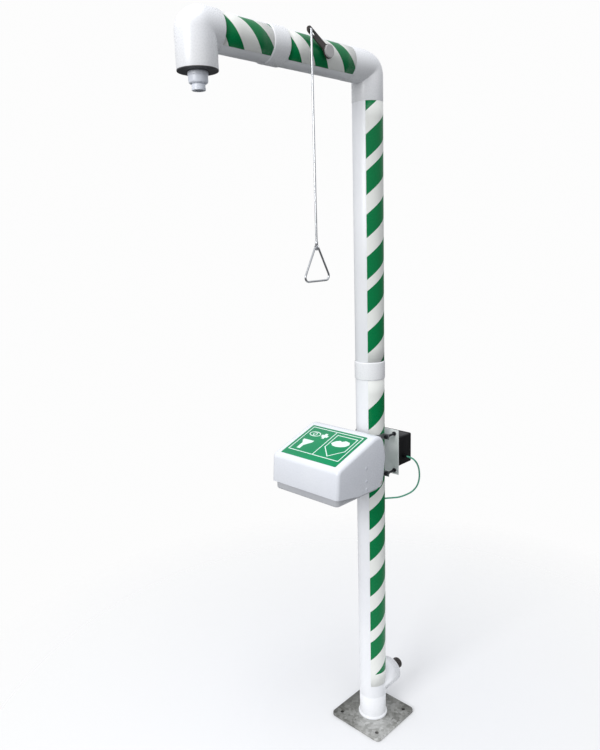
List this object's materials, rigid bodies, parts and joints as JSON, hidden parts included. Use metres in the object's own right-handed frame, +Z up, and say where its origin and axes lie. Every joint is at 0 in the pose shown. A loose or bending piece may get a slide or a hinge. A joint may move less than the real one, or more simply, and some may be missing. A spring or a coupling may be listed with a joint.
{
  "type": "emergency safety shower",
  "caption": "Emergency shower on an insulated column with an overarm nozzle, a pull lever with a triangle handle, and a lidded eyewash whose lid opens its own valve.",
  "frame": {"origin": "on the floor, at the middle of the base plate, on the column's axis", "axes": "+Z up the column; the arm and the eyewash project towards -Y; the inlet and the junction box are towards +Y; the pull lever is on the +X side"},
  "size_m": [0.295, 0.898, 2.4041],
  "materials": {
    "jacket": "smooth cool white, satin gloss",
    "band": "smooth white, satin gloss",
    "tape": "green and white diagonal warning stripes",
    "galvanised": "hot-dip galvanised, mottled matt grey",
    "pipe": "plain steel pipe",
    "fitting": "galvanised malleable fittings",
    "nipple": "dark threaded pipe end",
    "valve": "plain brass",
    "ball": "polished ball",
    "foam": "closed-cell insulation",
    "cable": "black self-regulating heating cable",
    "lever": "dark brown-black paint, satin",
    "hub": "light grey",
    "rod": "stainless, satin",
    "seal": "dark grey",
    "nozzle": "bluish white, satin",
    "strap": "galvanised strip",
    "bolt": "dark zinc-nickel",
    "plate": "light grey-green paint",
    "box": "black, fine texture",
    "screw": "plain steel screws",
    "gland": "black",
    "lead": "green sheath",
    "bowl": "grey-white moulding",
    "lid": "cool white moulding, satin gloss",
    "sign": "green panel with white symbols",
    "cap": "white screw caps",
    "post": "stainless plate",
    "spray": "dark green spray cups",
    "terminal": "grey terminals"
  },
  "bodies": {
    "stand": {"base_plate": "galvanised", "foot_pipe": "pipe", "inlet_tee": "fitting", "inlet_nipple": "nipple", "riser_lower": "pipe", "eyewash_tee": "fitting", "riser_upper": "pipe", "top_elbow": "fitting", "arm_pipe_rear": "pipe", "arm_pipe_front": "pipe", "head_elbow": "fitting", "shower_valve_body": "valve", "nozzle_body": "nozzle", "nozzle_tip": "nozzle", "insulation_shells": "foam", "heating_cable": "cable", "foot_collar": "jacket", "lower_jacket": "jacket", "upper_jacket": "jacket", "top_bend_jacket": "jacket", "arm_jacket_rear": "jacket", "arm_jacket_front": "jacket", "head_elbow_jacket": "jacket", "inlet_branch_jacket": "jacket", "inlet_end_cap": "jacket", "coupler_bands": "band", "head_seal_disc": "seal", "column_tape": "tape", "arm_tape": "tape", "clamp_straps": "strap", "clamp_bolts": "bolt", "clamp_nuts": "bolt", "mounting_plate": "plate", "junction_box": "box", "junction_box_cover": "box", "box_cover_screws": "screw", "terminal_block": "terminal", "cable_gland": "gland", "earth_lead": "lead", "eyewash_bracket": "post", "eyewash_bowl": "bowl", "bowl_strainer": "post", "eyewash_feed_pipe": "pipe", "eyewash_valve_body": "valve", "spray_manifold": "nozzle", "spray_heads": "spray", "hinge_posts": "post"},
    "lever": {"pull_lever": "lever", "lever_hub_cap": "hub", "shower_valve_stem": "ball", "shower_valve_ball": "ball"},
    "rod": {"pull_rod": "rod"},
    "handle": {"pull_handle": "rod"},
    "lid": {"eyewash_lid": "lid", "lid_sign": "sign", "lid_screw_caps": "cap", "hinge_pins": "post"},
    "link": {"lid_link": "post"},
    "eyewash_valve": {"eyewash_valve_stem": "post", "eyewash_valve_ball": "ball"}
  },
  "joints": [
    {"name": "lever", "type": "hinge", "parent": "stand", "child": "lever", "pos_m": [0, -0.251, 2.35], "axis": [1, 0, 0], "range_deg": [0, 90]},
    {"name": "rod_hook", "type": "hinge", "parent": "lever", "child": "rod", "pos_m": [0.0645, -0.32741, 2.39465], "axis": [1, 0, 0], "range_deg": [-90, 0]},
    {"name": "handle_swing", "type": "hinge", "parent": "rod", "child": "handle", "pos_m": [0.0645, -0.32741, 1.801], "axis": [0, 1, 0], "range_deg": [-45, 45]},
    {"name": "lid", "type": "hinge", "parent": "stand", "child": "lid", "pos_m": [0, -0.149, 1.14715], "axis": [-1, 0, 0], "range_deg": [0, 90]},
    {"name": "lid_link", "type": "hinge", "parent": "lid", "child": "link", "pos_m": [-0.0435, -0.179, 1.14715], "axis": [-1, 0, 0], "range_deg": [-90, 0]},
    {"name": "eyewash_valve", "type": "hinge", "parent": "stand", "child": "eyewash_valve", "pos_m": [0, -0.175, 1.035], "axis": [-1, 0, 0], "range_deg": [0, 90]}
  ],
  "couplings": [
    {"joint": "rod_hook", "follows": "lever", "ratio": -1},
    {"joint": "lid_link", "follows": "lid", "ratio": -1},
    {"joint": "eyewash_valve", "follows": "lid", "ratio": 1}
  ]
}
